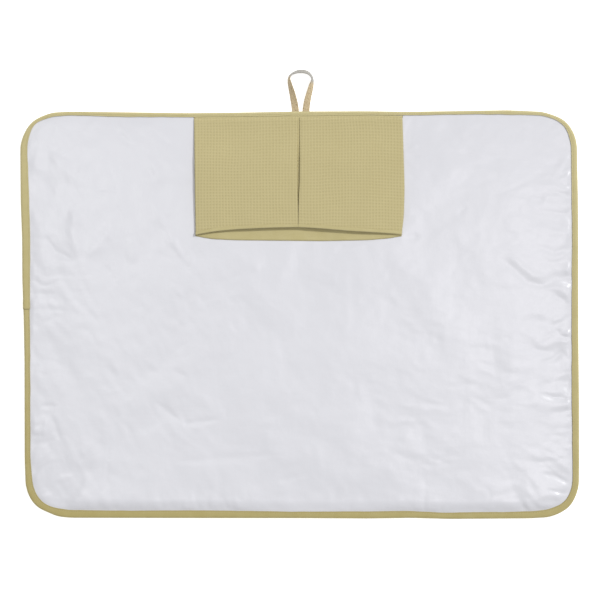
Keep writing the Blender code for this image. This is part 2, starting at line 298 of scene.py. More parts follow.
def on_mat(x, y, height):
    """Points at a height: the mat lies a little out of square, and its edge wanders in and out."""
    inset, way = edge_measure(x, y)
    _, _, out_x, out_y = edge_place(way, 0)
    push = edge_stop(way, PUSH) * np.exp(-np.maximum(inset, 0) / PUSH_REACH)
    return np.stack([x + OUT_OF_SQUARE * y + push * out_x, y + push * out_y, height], 1)


print(f"the lip is {EDGE_STOPS[:, LIP_WIDTH].min():.4f} to {EDGE_STOPS[:, LIP_WIDTH].max():.4f} m wide")

# %% [markdown]
# ## Making cloth from grids
#
# Every cloth here starts as a flat grid from bmesh. A function then says where each of the grid's
# points lies, and a UV map keeps the point's place on the flat cloth in metres, so a weave follows
# the cloth wherever it goes. Solidify gives the cloth its thickness, and its result is applied.


# %% Cloth helpers
def read_points(data):
    points = np.empty(len(data.vertices) * 3)
    data.vertices.foreach_get("co", points)
    return points.reshape(-1, 3)


def write_points(data, points):
    data.vertices.foreach_set("co", np.asarray(points, np.float32).ravel())
    data.update()


def close_mesh(name, mesh):
    """Turns a finished bmesh into mesh data."""
    data = bpy.data.meshes.new(name)
    mesh.to_mesh(data)
    mesh.free()
    return data


def make_grid(name, columns, rows):
    """A flat grid from bmesh, with its places from 0 to 1 across and along as two arrays."""
    mesh = bmesh.new()
    bmesh.ops.create_grid(mesh, x_segments=columns, y_segments=rows, size=0.5)
    data = close_mesh(name, mesh)
    points = read_points(data)
    return data, points[:, 0] + 0.5, points[:, 1] + 0.5


def lay_cloth(data, points, cloth_x, cloth_y):
    """Moves a grid's points to where the cloth lies, and keeps the flat cloth's metres as UVs."""
    write_points(data, points)
    corners = np.empty(len(data.loops), np.int32)
    data.loops.foreach_get("vertex_index", corners)
    layer = data.uv_layers.new(name="cloth")
    layer.data.foreach_set("uv", np.stack([cloth_x, cloth_y], 1)[corners].astype(np.float32).ravel())
    data.shade_smooth()


def show(name, data, finish):
    thing = bpy.data.objects.new(name, data)
    bpy.context.scene.collection.objects.link(thing)
    data.materials.clear()
    data.materials.append(finish)
    return thing


def thicken(thing, thickness, offset=-1):
    """Gives a cloth its thickness with Solidify, applied."""
    wall = thing.modifiers.new("thickness", "SOLIDIFY")
    wall.thickness = thickness
    wall.offset = offset
    thing.data = applied(thing)
    return thing


def applied(thing):
    """The mesh of an object with its modifiers applied, which are then removed."""
    bpy.context.view_layer.update()
    finished = thing.evaluated_get(bpy.context.evaluated_depsgraph_get())
    data = bpy.data.meshes.new_from_object(finished)
    data.name = thing.name
    thing.modifiers.clear()
    return data


def tell(thing):
    """Prints what was made."""
    count = sum(len(face.vertices) - 2 for face in thing.data.polygons)
    print(f"{thing.name}: {count} triangles, {thing.dimensions.x:.3f} x {thing.dimensions.y:.3f} m")


# %% [markdown]
# ## Shader sums
#
# Every finish is a tree of nodes. Wired up one by one, the nodes hide the sum that they stand for.
# A socket wrapped in this class can stand in a Python sum instead, and the sum adds its Math nodes.
# Any other node comes from the method add.


# %% The wire class
class Wire:
    """One output socket of a material's node tree."""

    def __init__(self, tree, socket=None):
        self.tree, self.socket = tree, socket

    def add(self, kind, sockets=None, settings=None, out=0):
        """Adds a node: its settings first, then the values or wires of its sockets."""
        node = self.tree.nodes.new(kind)
        for key, value in (settings or {}).items():
            setattr(node, key, value)
        for key, value in (sockets or {}).items():
            if isinstance(value, Wire):
                self.tree.links.new(value.socket, node.inputs[key])
            else:
                node.inputs[key].default_value = value
        return Wire(self.tree, node.outputs[out])

    def maths(self, operation, first, second=0.0, clamp=False):
        settings = {"operation": operation, "use_clamp": clamp}
        return self.add("ShaderNodeMath", {0: first, 1: second}, settings)

    def __add__(self, other):
        return self.maths("ADD", self, other)

    def __sub__(self, other):
        return self.maths("SUBTRACT", self, other)

    def __rsub__(self, other):
        return self.maths("SUBTRACT", other, self)

    def __mul__(self, other):
        return self.maths("MULTIPLY", self, other)

    def __truediv__(self, other):
        return self.maths("DIVIDE", self, other)

    def __pow__(self, other):
        return self.maths("POWER", self, other)

    def __abs__(self):
        return self.maths("ABSOLUTE", self)

    __radd__ = __add__
    __rmul__ = __mul__

    def sine(self):
        return self.maths("SINE", self)

    def clamped(self):
        return self.maths("ADD", self, 0.0, clamp=True)

    def mix(self, low, high):
        """A colour that goes from low to high as this wire goes from 0 to 1."""
        return self.add("ShaderNodeMix", {0: self, 6: low, 7: high}, {"data_type": "RGBA"}, out=2)


print("a wire can stand in + - * / ** and abs")


def colour(red, green, blue):
    """A linear colour from the 0 to 255 numbers that a screen shows."""
    return tuple(((c / 255 + 0.055) / 1.055) ** 2.4 for c in (red, green, blue)) + (1,)


# %% [markdown]
# ### What all finishes share
#
# A finish starts from Blender's own shader with a roughness and a sheen. Places come from the cloth's
# UV map, in metres, or from the object. Noise makes clouds and slubs, and a checker of sines makes
# the over and under of a plain weave.


# %% Finish helpers
def make_finish(name, roughness, sheen=0.0):
    """A new material: (material, its Principled shader, the wire to build its pattern from)."""
    finish = bpy.data.materials.new(name)
    finish.use_nodes = True
    shader = finish.node_tree.nodes["Principled BSDF"]
    shader.inputs["Roughness"].default_value = roughness
    shader.inputs["Sheen Weight"].default_value = sheen
    shader.inputs["Sheen Roughness"].default_value = 0.5
    shader.inputs["Specular IOR Level"].default_value = 0.35
    return finish, shader, Wire(finish.node_tree)


def plug(shader, socket, wire):
    shader.id_data.links.new(wire.socket, shader.inputs[socket])


def split(place):
    """The first two coordinates of a place."""
    return [place.add("ShaderNodeSeparateXYZ", {0: place}, out=axis) for axis in (0, 1)]


def cloth_place(base):
    """Where a point lies on the flat cloth, in metres, from the UV map."""
    return base.add("ShaderNodeUVMap", settings={"uv_map": "cloth"})


def object_place(base):
    """Where a point lies in the frame, in metres."""
    return base.add("ShaderNodeTexCoord", out=3)


def noise(base, place, scale, detail=3.0, rough=0.55):
    sockets = {"Vector": place, "Scale": scale, "Detail": detail, "Roughness": rough}
    return base.add("ShaderNodeTexNoise", sockets)


def plug_bump(shader, height, distance, strength=1.0):
    sockets = {"Height": height, "Distance": distance, "Strength": strength}
    plug(shader, "Normal", height.add("ShaderNodeBump", sockets))


def plain_weave(across, along, pitch):
    """Over and under threads: a checker of small rounded bumps."""
    turn = math.pi / pitch
    return (across * turn).sine() * (along * turn).sine() * 0.5 + 0.5


def tell_finish(finish):
    print(f"{finish.name}: {len(finish.node_tree.nodes)} nodes")


print("a mid grey is", [round(part, 3) for part in colour(128, 128, 128)])

# %% [markdown]
# ## Coated satin
#
# The top is satin with a thin waterproof coat: smooth, with a faint lilac cast and a broad soft
# gloss. The gloss could come from a clear coat, but a low roughness on the cloth itself is closer to
# a coat that has soaked in. Fine noise in the bump gives the crinkle that breaks the highlights.


# %% Coated satin
def make_satin():
    finish, shader, base = make_finish("coated_satin", 0.32, sheen=0.05)
    shader.inputs["Specular IOR Level"].default_value = 0.6
    place = cloth_place(base)
    across, along = split(place)
    clouds = noise(base, place, 9.0, 4.0)
    plug(shader, "Base Color", clouds.mix(colour(212, 212.5, 217.5), colour(216, 216.5, 221.5)))
    plug(shader, "Roughness", noise(base, place, 160.0) * 0.10 + 0.27)
    crinkle = noise(base, place, 140.0, 5.0, 0.6)
    weave = plain_weave(across, along, 0.35 * MM)
    plug_bump(shader, crinkle + weave * 0.05, 0.25 * MM, 0.5)
    return finish


satin = make_satin()
tell_finish(satin)

# %% [markdown]
# ## Olive cotton
#
# Binding, backing, hem and the pocket's back are one plain-weave cotton. Its threads are a fraction of
# a millimetre, so they read as grain: a fine weave, slubs and slow clouds. Painted light makes the
# cloth lighter towards the far edge and the right. The binding's own version has painted shade in the
# crease at its upper lip, strongest towards the near edge.


# %% Olive cotton
CREASE = 18.9 * MM  # across the tape, where its upper lip begins
OLIVE_LIGHT, OLIVE_DARK = colour(200, 190, 144), colour(170, 157, 101)


def make_cotton(name, crease_shaded=False):
    """Plain cotton, lighter towards the far edge and the right as painted light, with painted shade in
    the crease at a tape's lip.
    """
    finish, shader, base = make_finish(name, 0.85, sheen=0.25)
    place = cloth_place(base)
    across, along = split(place)
    right, far = split(object_place(base))
    weave = plain_weave(across, along, 0.42 * MM)
    clouds = noise(base, place, 60.0, 4.0)
    slubs = noise(base, place, 900.0, 2.0)
    # painted light and shade: lighter towards the far edge and the right, darker towards the near edge
    # and the left
    shade = clouds * 0.5 + slubs * 0.3 + weave * 0.25 - 0.03 + far * 1.4 + right * 0.25
    # painted shade: darker in the crease at the tape's upper lip, most towards the near edge
    if crease_shaded:
        shade = shade - ((along - CREASE) / (0.7 * MM)).clamped() * (0.2 - far * 1.2).clamped()
    plug(shader, "Base Color", shade.mix(OLIVE_DARK, OLIVE_LIGHT))
    plug(shader, "Roughness", slubs * 0.15 + 0.76)
    plug_bump(shader, weave + slubs * 0.6, 0.12 * MM, 0.8)
    return finish


cotton = make_cotton("olive_cotton")
tape_cotton = make_cotton("crease_shaded_olive_cotton", crease_shaded=True)
tell_finish(cotton)
tell_finish(tape_cotton)

# %% [markdown]
# ## Waffle weave
#
# The pocket's front is woven in small square cells: long floats stand up as ridges round a sunken
# middle. The product of two sines has just that shape, and its size gives both the painted shade in
# the sunken cells and their bump. The mesh repeats the same formula later, so light and shape agree.


# %% Waffle weave
WAFFLE_PITCH = 3.8 * MM


def make_waffle():
    finish, shader, base = make_finish("waffle_weave", 0.9, sheen=0.3)
    place = cloth_place(base)
    across, along = split(place)
    turn = math.pi / WAFFLE_PITCH
    cell = abs((across * turn).sine() * (along * turn).sine()) ** 0.8
    weave = plain_weave(across, along, 0.48 * MM)
    clouds = noise(base, place, 35.0, 4.0)
    slubs = noise(base, place, 800.0, 2.0)
    # painted shade: the sunken middles of the cells are coloured darker
    shade = (1 - cell) * 0.32 + clouds * 0.25 + slubs * 0.25 + 0.06
    plug(shader, "Base Color", shade.mix(colour(178, 166, 118), colour(200, 189, 144)))
    plug_bump(shader, weave * 0.5 + slubs * 0.5 - cell * 1.5, 0.20 * MM, 0.8)
    return finish


waffle = make_waffle()
tell_finish(waffle)

# %% [markdown]
# ## Herringbone tape
#
# The loop is a strong beige tape. Herringbone is a twill whose slope turns round at the middle, which
# is one absolute value in the place across. Darker flecks are uneven yarn. Where the tape turns back
# on itself it is painted greyer, a painted sheen of light glancing off it.


# %% Herringbone tape
TAPE_WIDTH = 8.4 * MM
TWILL_PITCH = 1.7 * MM
TAPE_MIDDLE, TAPE_TURN = 65 * MM, 17 * MM  # along the tape, where the painted sheen greys it


def make_tape():
    finish, shader, base = make_finish("beige_tape", 0.8, sheen=0.2)
    place = cloth_place(base)
    across, along = split(place)
    zig = abs(across - TAPE_WIDTH / 2) + along
    twill = (zig * (2 * math.pi / TWILL_PITCH)).sine() * 0.5 + 0.5
    slubs = noise(base, place, 700.0, 2.0)
    clouds = noise(base, place, 120.0, 3.0)
    pattern = twill * 0.5 + slubs * 0.5 + clouds * 0.3 - 0.15
    flecks = ((noise(base, place, 480.0, 2.0) - 0.54) * 9).clamped() * 0.75
    yarn = pattern.mix(colour(166, 146, 110), colour(220, 203, 168))
    beige = flecks.mix(yarn, colour(140, 116, 80))
    # painted sheen: where the tape turns back on itself it is mixed to grey, for light glancing off it
    grey = pattern.mix(colour(132, 129, 122), colour(182, 179, 171))
    painted_sheen = (1 - (abs(along - TAPE_MIDDLE) - TAPE_TURN) / (5 * MM)).clamped()
    plug(shader, "Base Color", painted_sheen.mix(beige, grey))
    plug_bump(shader, twill + slubs * 0.4, 0.16 * MM, 0.8)
    return finish


tape = make_tape()
tell_finish(tape)

# %% [markdown]
# ## Thread and wadding
#
# The thread is twisted cotton in the binding's colour, with a little more shine. The wadding is a
# mass of white fibres. Neither follows a flat cloth, so both read the place in the object.


# %% Thread and wadding
def make_thread():
    finish, shader, base = make_finish("thread", 0.55, sheen=0.2)
    twist = noise(base, object_place(base), 1500.0, 1.0)
    plug(shader, "Base Color", twist.mix(colour(176, 164, 120), colour(196, 186, 144)))
    plug_bump(shader, twist, 0.05 * MM)
    return finish


def make_wadding():
    finish, shader, base = make_finish("wadding", 0.95, sheen=0.4)
    fibres = noise(base, object_place(base), 400.0, 6.0, 0.7)
    plug(shader, "Base Color", fibres.mix(colour(226, 224, 218), colour(246, 245, 241)))
    plug_bump(shader, fibres, 0.8 * MM)
    return finish


thread = make_thread()
wadding = make_wadding()
tell_finish(thread)
tell_finish(wadding)

# %% [markdown]
# ## The camera
#
# The mat is seen from straight above. The lens is long and the camera high, so that the loop and the
# pocket, which stand higher than the rest, aren't drawn larger. The focal length follows from the
# width that has to be seen.

# %% Camera
VIEW_WIDTH = 736.8 * MM
VIEW_CENTRE = Vector((-0.5 * MM, 18.0 * MM, PAD_HIGH))
CAMERA_HEIGHT = 3.0

lens = bpy.data.cameras.new("camera")
lens.sensor_width = 36
lens.lens = lens.sensor_width * CAMERA_HEIGHT / VIEW_WIDTH
camera = bpy.data.objects.new("camera", lens)
camera.location = VIEW_CENTRE + Vector((0, 0, CAMERA_HEIGHT))
bpy.context.scene.collection.objects.link(camera)
bpy.context.scene.camera = camera
print(f"a lens of {lens.lens:.0f} mm at {CAMERA_HEIGHT:.0f} m")

# %% [markdown]
# ## The lights
#
# A soft sun stands to the far right, so that folds shade gently and the pocket's left edge has a thin
# shadow. Two softboxes high above give the gloss on the satin's right and left, and a pale world
# fills the rest.


# %% Lights
def add_lamp(name, kind, place, power):
    """A lamp at a place, turned to the middle of the mat. Returns its settings."""
    lamp = bpy.data.lights.new(name, kind)
    lamp.energy = power
    light = bpy.data.objects.new(name, lamp)
    light.location = place
    light.rotation_euler = (-Vector(place)).to_track_quat("-Z", "Y").to_euler()
    bpy.context.scene.collection.objects.link(light)
    return lamp


def add_sun(name, place, spread, power):
    add_lamp(name, "SUN", place, power).angle = math.radians(spread)


def add_softbox(name, place, power, tint):
    """A small overhead light whose gloss falls on one side of the satin."""
    lamp = add_lamp(name, "AREA", place, power)
    lamp.size = 0.5
    lamp.color = tint


add_sun("key", (1.0, 0.85, 1.5), 7, 1.85)
add_softbox("right_softbox", (0.72, 0.0, 3.0), 10, (1, 0.96, 1))
add_softbox("left_softbox", (-0.75, 0.3, 3.0), 8, (1, 1, 1))

world = bpy.data.worlds.new("studio")
world.use_nodes = True
sky = world.node_tree.nodes["Background"].inputs
sky["Color"].default_value = (1, 1, 1, 1)
sky["Strength"].default_value = 0.44
bpy.context.scene.world = world
bpy.context.scene.view_settings.view_transform = "Standard"

# %% [markdown]
# ## The floor
#
# The mat lies on a plain pale table. It glows a little, so that it stays white up to the mat's edge.

# %% Floor
FLOOR_SIZE = 6.0
FLOOR_DROP = 0.4 * MM

floor_data, _, _ = make_grid("floor", 1, 1)
write_points(floor_data, read_points(floor_data) * FLOOR_SIZE - np.array([0, 0, FLOOR_DROP]))
floor_finish, floor_shader, _ = make_finish("pale_floor", 0.9)
floor_shader.inputs["Base Color"].default_value = (0.9, 0.9, 0.9, 1)
floor_shader.inputs["Emission Color"].default_value = (1, 1, 1, 1)
floor_shader.inputs["Emission Strength"].default_value = 0.6
floor = show("floor", floor_data, floor_finish)
tell(floor)

# %% [markdown]
# ## The crumple of the sheet
#
# The satin was cut a little too big, so it buckles over the wadding. Noise alone doesn't buckle the
# way cloth does, so a short cloth simulation is run on a coarse grid: it is held under the binding,
# grows most near the edge, and its heights are kept as one of the things that shape the sheet.

# %% The crumple, by cloth simulation
CRUMPLE_STEP = 5 * MM
CRUMPLE_FRAMES = 18
CRUMPLE_START = 0.3 * MM  # the unevenness that the buckling grows from
GROWTH_REACH = 30 * MM


def simulate_crumple():
    """Heights of a sheet that is a little too big for its binding, on a coarse grid over the mat."""
    columns, rows = round(2 * HALF_X / CRUMPLE_STEP), round(2 * HALF_Y / CRUMPLE_STEP)
    data, across, along = make_grid("crumple", columns, rows)
    x, y = (across - 0.5) * 2 * HALF_X, (along - 0.5) * 2 * HALF_Y
    inset, _ = edge_measure(x, y)
    start = CRUMPLE_START * wander(x, y, 9 * MM, 5) * (inset > LIP)
    write_points(data, np.stack([x, y, start], 1))
    sheet = show("crumple", data, satin)
    held = sheet.vertex_groups.new(name="held")
    gathered = sheet.vertex_groups.new(name="gathered")
    for index, depth in enumerate(inset):
        held.add([index], 1.0 if depth < LIP else 0.02, "REPLACE")
        gathered.add([index], math.exp(-((max(depth, 0) / GROWTH_REACH) ** 2)), "REPLACE")
    cloth = sheet.modifiers.new("cloth", "CLOTH")
    settings = cloth.settings
    settings.quality = 5
    settings.mass = 0.2
    settings.tension_stiffness = 15
    settings.compression_stiffness = 15
    settings.shear_stiffness = 5
    settings.bending_stiffness = 5
    settings.vertex_group_mass = "held"
    settings.vertex_group_shrink = "gathered"
    settings.shrink_min = -0.008
    settings.shrink_max = -0.06
    settings.effector_weights.gravity = 0
    cloth.point_cache.frame_end = CRUMPLE_FRAMES
    for step in range(1, CRUMPLE_FRAMES + 1):
        bpy.context.scene.frame_set(step)
    heights = read_points(applied(sheet))[:, 2].reshape(rows + 1, columns + 1)
    bpy.data.objects.remove(sheet)
    bpy.context.scene.frame_set(1)
    return heights


crumple_heights = simulate_crumple()
print(f"crumple from {crumple_heights.min() / MM:.1f} to {crumple_heights.max() / MM:.1f} mm")


# %% [markdown]
# ### Reading the crumple anywhere
#
# The sheet's own grid is finer than the simulation's, so heights are read between its points, eased
# so that the coarse squares don't show.


# %% Reading the crumple
def crumple(x, y):
    """The simulated height at any point, eased between the coarse grid's points."""
    rows, columns = crumple_heights.shape
    column = np.clip((x + HALF_X) / (2 * HALF_X) * (columns - 1), 0, columns - 1.001)
    row = np.clip((y + HALF_Y) / (2 * HALF_Y) * (rows - 1), 0, rows - 1.001)
    left, low = np.floor(column).astype(int), np.floor(row).astype(int)
    corners = [crumple_heights[low + far, left + right] for far in (0, 1) for right in (0, 1)]
    return between(*corners, soft(column - left), soft(row - low))


middle_crumple = crumple(np.zeros(1), np.zeros(1))
print(f"in the middle the crumple is {middle_crumple[0] / MM:.2f} mm")

# %% [markdown]
# ## Puckers along the binding
#
# Where the binding gathers the sheet, small folds run square to the edge: close together beside the
# lip, and fewer and broader further in. Three sizes of noise along the way round make them, each
# fading inwards at its own rate, as strong as the edge's stops say.


# %% Puckers
def puckers(inset, way):
    """Small folds square to the edge: sharp beside the binding, and broad further in."""
    depth = np.maximum(inset - edge_stop(way, LIP_WIDTH), 0)
    patches = 0.65 + 0.6 * wander(way, 0 * way, 48 * MM, 21)
    bend = way + 7 * MM * wander(way, inset, 24 * MM, 23) * np.minimum(depth / (18 * MM), 1.5)
    reach = 1 + 0.5 * wander(way, 0 * way, 30 * MM, 27)
    fine = np.abs(wander(bend, inset * 0.3, 5.5 * MM, 24)) * np.exp(-depth / (7 * MM * reach))
    middling = np.abs(wander(bend, inset * 0.3, 11 * MM, 25)) * np.exp(-depth / (17 * MM * reach))
    broad = wander(bend, inset * 0.3, 21 * MM, 26) * np.exp(-depth / (32 * MM * reach))
    risen = ease(inset - edge_stop(way, LIP_WIDTH), 0, 5 * MM)
    return edge_stop(way, GATHERING) * patches * risen * (1.1 * fine + 2.9 * middling + 2.1 * broad)


around = np.linspace(0, EDGE_LENGTH, 2000)
tallest = puckers(np.full_like(around, 14 * MM), around).max()
print(f"the tallest pucker 14 mm in is {tallest / MM:.1f} mm")

# %% [markdown]
# ## Creases of the coated cloth
#
# A coated cloth keeps a memory of how it was rolled and folded: faint streaks that run one way. On the
# left they stand steeply, on the right they lie nearly level, and the middle is almost smooth.


# %% Creases
def streaks(x, y, degrees, seed):
    """Long low waves that run in one direction, wandering a little."""
    turn = math.radians(degrees)
    along = x * math.cos(turn) + y * math.sin(turn)
    off = y * math.cos(turn) - x * math.sin(turn) + 5 * MM * wander(x, y, 34 * MM, seed + 1)
    return wander(along, off * 3, 24 * MM, seed) + 0.5 * wander(along, off * 2.4, 12 * MM, seed + 2)


def creases(x, y):
    """Streaks, thin lines and small bumps, in patches."""
    drift_x = x + 7 * MM * wander(x, y, 30 * MM, 33)
    drift_y = y + 7 * MM * wander(x, y, 30 * MM, 34)
    left, right = ease(-x, 0, 170 * MM), ease(x, 0, 190 * MM)
    patch = 0.55 + 0.6 * wander(x, y, 45 * MM, 36)
    waves = left * streaks(x, y, -62, 71) + right * streaks(x, y, -9, 81)
    lines = np.exp(-((wander(drift_x, drift_y * 0.8, 31 * MM, 35) / 0.10) ** 2)) * ease(patch, 0.6, 1)
    small = wander(drift_x, drift_y, 10 * MM, 37)
    return 0.26 * MM * patch * waves + 0.10 * MM * lines + 0.12 * MM * small


tried = creases(np.full(500, -200 * MM), np.linspace(-HALF_Y, HALF_Y, 500))
print(f"creases on the left from {tried.min() / MM:.2f} to {tried.max() / MM:.2f} mm")

# %% [markdown]
# ## Folds from storing
#
# Besides these even creases the sheet has single folds, left from when the mat was put away. Each one
# follows a line of stops. How far a point is from that line gives the fold's round profile, and how
# far along it gives the fading at both ends.


# %% One fold
def fold(x, y, stops, width, height):
    """One soft fold along a line of stops, fading out towards both ends."""
    nearest, place = np.full_like(x, 1e9), np.zeros_like(x)
    runs = [math.dist(start, end) for start, end in zip(stops, stops[1:])]
    gone = 0.0
    for (start, end), run in zip(zip(stops, stops[1:]), runs):
        heading_x, heading_y = (end[0] - start[0]) / run, (end[1] - start[1]) / run
        along = np.clip((x - start[0]) * heading_x + (y - start[1]) * heading_y, 0, run)
        off = np.hypot(x - start[0] - along * heading_x, y - start[1] - along * heading_y)
        place = np.where(off < nearest, (gone + along) / sum(runs), place)
        nearest = np.minimum(off, nearest)
        gone += run
    slim = width * (0.35 + 0.65 * np.sin(math.pi * np.clip(place, 0.02, 0.98)))
    fading = ease(place, -0.05, 0.3) * (1 - ease(place, 0.7, 1.05))
    return height * np.exp(-((nearest / slim) ** 2)) * fading


tried = fold(np.linspace(-9, 9, 19), np.zeros(19), ((0, -10), (0, 10)), 4, 1)
print("across one fold", [round(float(part), 1) for part in tried[::3]])

# %% [markdown]
# ### Where the folds lie
#
# The folds are listed one by one: each has two to four stops, a width and a height. A valley's height is
# negative. The deepest lie beside the right-hand binding, where the sheet is pulled in the most.

# %% Stored folds
STORED_FOLDS = [  # stops, width and height in millimetres
    (((-321, 210), (-300, 201), (-277, 188)), 3.5, -0.35),
    (((-226, 228), (-205, 207)), 4, -0.5),
    (((-219, 232), (-197, 210)), 4, 0.35),
    (((-182, 228), (-155, 207)), 4, -0.45),
    (((-256, 153), (-232, 154), (-209, 152)), 2.2, -0.22),
    (((-255, 149), (-230, 150)), 2.5, 0.2),
    (((-315, 98), (-300, 77), (-273, 64)), 4, -0.55),
    (((-276, 134), (-279, 100), (-270, 68)), 9, 0.9),
    (((-264, 68), (-243, 90), (-226, 112)), 8, 0.55),
    (((-218, 110), (-218, 80), (-216, 52)), 5, -0.4),
    (((-205, 98), (-205, 62)), 7, 0.4),
    (((-197, 172), (-180, 146)), 3, -0.3),
    (((-185, 148), (-160, 100), (-138, 62)), 5, 0.65),
    (((-241, 62), (-226, 39)), 4, -0.35),
    (((-161, 39), (-144, 22)), 4, 0.35),
    (((-262, 7), (-247, -14)), 4, -0.3),
    (((-180, -106), (-160, -122), (-145, -134)), 4, -0.5),
    (((-147, -134), (-122, -132), (-99, -128)), 4, -0.5),
    (((-161, -67), (-139, -78)), 4, -0.3),
    (((-194, -53), (-176, -68)), 5, 0.3),
    (((-157, -181), (-90, -176), (-24, -171)), 6, -0.4),
    (((-30, -205), (-2, -198)), 5, -0.35),
    (((-54, -137), (-30, -128), (-29, -137)), 5, 0.25),
    (((-322, -112), (-301, -112)), 3, -0.5),
    (((-309, -122), (-297, -155)), 4, -0.5),
    (((-314, -128), (-318, -152)), 4, 0.45),
    (((-307, -205), (-279, -198)), 4, 0.4),
    (((244, 71), (259, 59), (279, 40), (297, 36), (315, 38)), 5.5, -0.75),
    (((250, 77), (266, 66), (286, 48), (306, 46)), 5, 0.45),
    (((278, 138), (303, 144)), 6, -0.55),
    (((268, 130), (290, 128)), 5, 0.3),
    (((309, 28), (327, 17)), 4, -0.5),
    (((194, 121), (206, 134)), 3.5, -0.3),
    (((134, 203), (147, 210)), 3, 0.35),
    (((132, 196), (152, 194)), 3, -0.35),
    (((132, 188), (149, 180)), 3, 0.35),
    (((130, 178), (146, 166)), 3.5, -0.3),
    (((126, 94), (148, 96)), 5, -0.4),
    (((46, 71), (66, 82), (96, 91), (122, 93)), 4, 0.35),
    (((34, 66), (60, 86)), 4, -0.25),
    (((-84, 84), (-66, 66), (-40, 56)), 9, 0.45),
    (((218, -60), (262, -72)), 6, -0.35),
    (((236, -104), (290, -96)), 7, -0.35),
    (((291, -194), (314, -200), (334, -209)), 3, -0.7),
    (((300, -204), (332, -215)), 2.6, 0.15),
    (((298, -215), (332, -222)), 2.8, -0.8),
    (((288, -230), (308, -229), (328, -234)), 5, -1.3),
    (((294, -59), (311, -55), (321, -46), (330, -54)), 3, -0.6),
    (((311, -83), (317, -76), (330, -74)), 2.6, 0.35),
    (((312, -85), (319, -94), (332, -95)), 2.6, 0.3),
    (((317, -86), (322, -82), (330, -84)), 2.4, -0.3),
    (((290, -96), (311, -102), (332, -104)), 3.2, -0.9),
    (((305, -12), (318, -22), (331, -34)), 3, -0.6),
    (((286, -181), (331, -178)), 3.5, -0.5),
    (((304, -120), (332, -117)), 4, -0.5),
    (((306, -10), (330, 0)), 4, 0.5),
    (((150, -20), (176, -34)), 5, -0.25),
    (((96, 20), (120, 12)), 5, -0.22),
]
print(len(STORED_FOLDS), "stored folds")

# %% [markdown]
# ## How high the sheets lie
#
# The top sheet leaves the binding, swells over the wadding and lies nearly level, and the crumple,
# creases, folds and puckers are added to that. The backing is flat on the table and rises to meet the
# binding. Both are plain functions of the place, so everything that lies on them can ask them.

# %% Heights of the sheets
CRUMPLE_SHARE = 0.12
LEVELLING = 85 * MM  # how far from the edge the swelling has levelled out
INSIDE_LIP = 1.3 * MM  # how far under the top of its lip the binding holds the sheet


def sheet_height(x, y):
    """The height of the top sheet's upper face."""
    inset, way = edge_measure(x, y)
    depth = inset - edge_stop(way, LIP_WIDTH)
    under_lip, swell = EDGE_HIGH - INSIDE_LIP, edge_stop(way, SWELL)
    level = under_lip + swell * ease(depth, -2 * MM, 13 * MM)
    broad_x = ease(HALF_X - np.abs(x), 5 * MM, LEVELLING)
    broad_y = ease(HALF_Y - np.abs(y), 5 * MM, LEVELLING)
    level = level + (PAD_HIGH + 0.3 * MM - level) * broad_x * broad_y
    waves = 0.35 * MM * wander(x, y, 60 * MM, 31) + CRUMPLE_SHARE * crumple(x, y) + creases(x, y)
    for stops, width, height in STORED_FOLDS:
        waves = waves + fold(x / MM, y / MM, stops, width, height) * MM
    return level + ease(depth, -1 * MM, 8 * MM) * waves + puckers(inset, way)


def backing_height(x, y):
    """The height of the backing's lower face: flat on the table, and raised towards the binding."""
    inset, _ = edge_measure(x, y)
    over_lip = EDGE_LOW + 1.0 * MM
    ripples = 0.25 * MM * (1 + wander(x, y, 24 * MM, 41)) * ease(inset, LIP, LIP + 10 * MM)
    lift = over_lip * (1 - ease(inset, LIP - 1 * MM, LIP + 14 * MM))
    return lift + ripples * (1 - ease(inset, 30 * MM, 60 * MM))


middle_height = sheet_height(np.zeros(1), np.zeros(1))
print(f"in the middle the sheet lies {middle_height[0] / MM:.1f} mm high")

# %% [markdown]
# ## Cutting a cloth into its panels
#
# Top sheet, backing and binding are single cloths that run across the two folds. Each is made whole and
# only then cut where the wings begin, so no gap can open. A cut alone would show as a line of light,
# so the pieces keep the whole cloth's normals.

# %% Cutting cloth
SIDES = (("left", -1, -CUT_X), ("middle", -CUT_X, CUT_X), ("right", CUT_X, 1))


def keep_normals(whole):
    """Keeps the shading of a whole cloth on its points, for the pieces that are cut from it."""
    normals = np.empty(len(whole.data.vertices) * 3, np.float32)
    whole.data.vertices.foreach_get("normal", normals)
    kept = whole.data.attributes.new("whole_normal", "FLOAT_VECTOR", "POINT")
    kept.data.foreach_set("vector", normals)


def cut_piece(whole, name, planes):
    """The part of a cloth behind each plane (point, outward direction), with its whole shading."""
    mesh = bmesh.new()
    mesh.from_mesh(whole.data)
    for place, outward in planes:
        everything = mesh.verts[:] + mesh.edges[:] + mesh.faces[:]
        bmesh.ops.bisect_plane(mesh, geom=everything, plane_co=place, plane_no=outward, clear_outer=True)
    bmesh.ops.edgeloop_fill(mesh, edges=[edge for edge in mesh.edges if edge.is_boundary])
    data = close_mesh(name, mesh)
    normals = np.empty(len(data.vertices) * 3, np.float32)
    data.attributes["whole_normal"].data.foreach_get("vector", normals)
    data.attributes.remove(data.attributes["whole_normal"])
    data.normals_split_custom_set_from_vertices(normals.reshape(-1, 3).tolist())
    return show(name, data, whole.data.materials[0])


def bend_with_mat(piece, side):
    """A middle piece is attached to the middle panel, and a wing's piece has its place baked into its
    mesh.
    """
    if side == "middle":
        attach(piece, "middle_panel")
        return
    sign = -1 if side == "left" else 1
    start, end = (sign * BEND_IN, 0, 0), (sign * BEND_OUT, 0, 0)
    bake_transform(piece)


print("cuts at", [round(low, 3) for _, low, _ in SIDES[1:]])

# %% [markdown]
# ## Top sheet and backing
#
# Each is one grid whose square corners are pressed round, laid at its height and thickened. The top
# sheet's grid is fine enough for its puckers, and the hidden backing makes do with a coarser one.

# %% Top sheet and backing
TOP_STEP, BACKING_STEP = 2 * MM, 4 * MM
UNDER_LIP = 1.6 * MM  # how far inside the binding's edge the sheets end
WING_FLAT = (HALF_X - CUT_X, 2 * HALF_Y)
MIDDLE_FLAT = (2 * CUT_X, 2 * HALF_Y)


